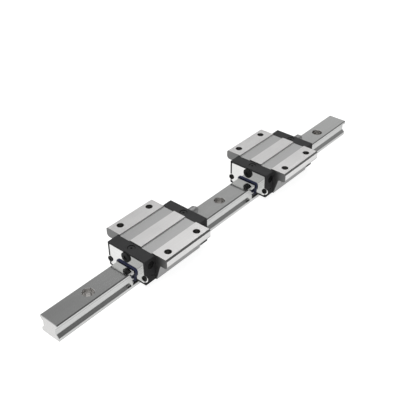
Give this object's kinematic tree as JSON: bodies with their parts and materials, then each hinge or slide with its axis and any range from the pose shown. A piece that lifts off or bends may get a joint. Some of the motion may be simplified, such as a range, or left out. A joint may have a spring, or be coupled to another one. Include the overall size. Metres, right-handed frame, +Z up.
{
  "type": "linear guide",
  "caption": "Profile rail with counterbored screw holes and low flanged ball carriages that slide along it to carry a moving table.",
  "frame": {"origin": "centre of the rail's underside, in the middle of its length", "axes": "+X along the rail towards the carriages' rear ends, +Y to the left side, +Z up from the bed"},
  "size_m": [0.3, 0.052, 0.024],
  "materials": {
    "rail_steel": "ground and polished",
    "block_steel": "fine ground, satin",
    "ball_steel": "polished",
    "bottom_seal_rubber": "matte",
    "cap_plastic": "satin moulded",
    "plate_steel": "bright sheet",
    "seal_rubber": "matte, navy blue",
    "screw_steel": "black oxide",
    "plug_plastic": "satin",
    "nipple_steel": "bright plated"
  },
  "bodies": {
    "rail": {"rail": "rail_steel"},
    "carriage_1": {"carriage_1_body": "block_steel", "carriage_1_balls": "ball_steel", "carriage_1_bottom_seals": "bottom_seal_rubber", "carriage_1_front_cap": "cap_plastic", "carriage_1_rear_cap": "cap_plastic", "carriage_1_front_plate": "plate_steel", "carriage_1_rear_plate": "plate_steel", "carriage_1_front_seal": "seal_rubber", "carriage_1_rear_seal": "seal_rubber", "carriage_1_front_screws": "screw_steel", "carriage_1_rear_screws": "screw_steel", "carriage_1_front_plug": "plug_plastic", "carriage_1_rear_grease_nipple": "nipple_steel"},
    "carriage_2": {"carriage_2_body": "block_steel", "carriage_2_balls": "ball_steel", "carriage_2_bottom_seals": "bottom_seal_rubber", "carriage_2_front_cap": "cap_plastic", "carriage_2_rear_cap": "cap_plastic", "carriage_2_front_plate": "plate_steel", "carriage_2_rear_plate": "plate_steel", "carriage_2_front_seal": "seal_rubber", "carriage_2_rear_seal": "seal_rubber", "carriage_2_front_screws": "screw_steel", "carriage_2_rear_screws": "screw_steel", "carriage_2_front_plug": "plug_plastic", "carriage_2_rear_grease_nipple": "nipple_steel"}
  },
  "joints": [
    {"name": "carriage_1_slide", "type": "slide", "parent": "rail", "child": "carriage_1", "axis": [1, 0, 0], "range_m": [-0.06, 0.0265]},
    {"name": "carriage_2_slide", "type": "slide", "parent": "rail", "child": "carriage_2", "axis": [1, 0, 0], "range_m": [-0.0265, 0.053]}
  ]
}
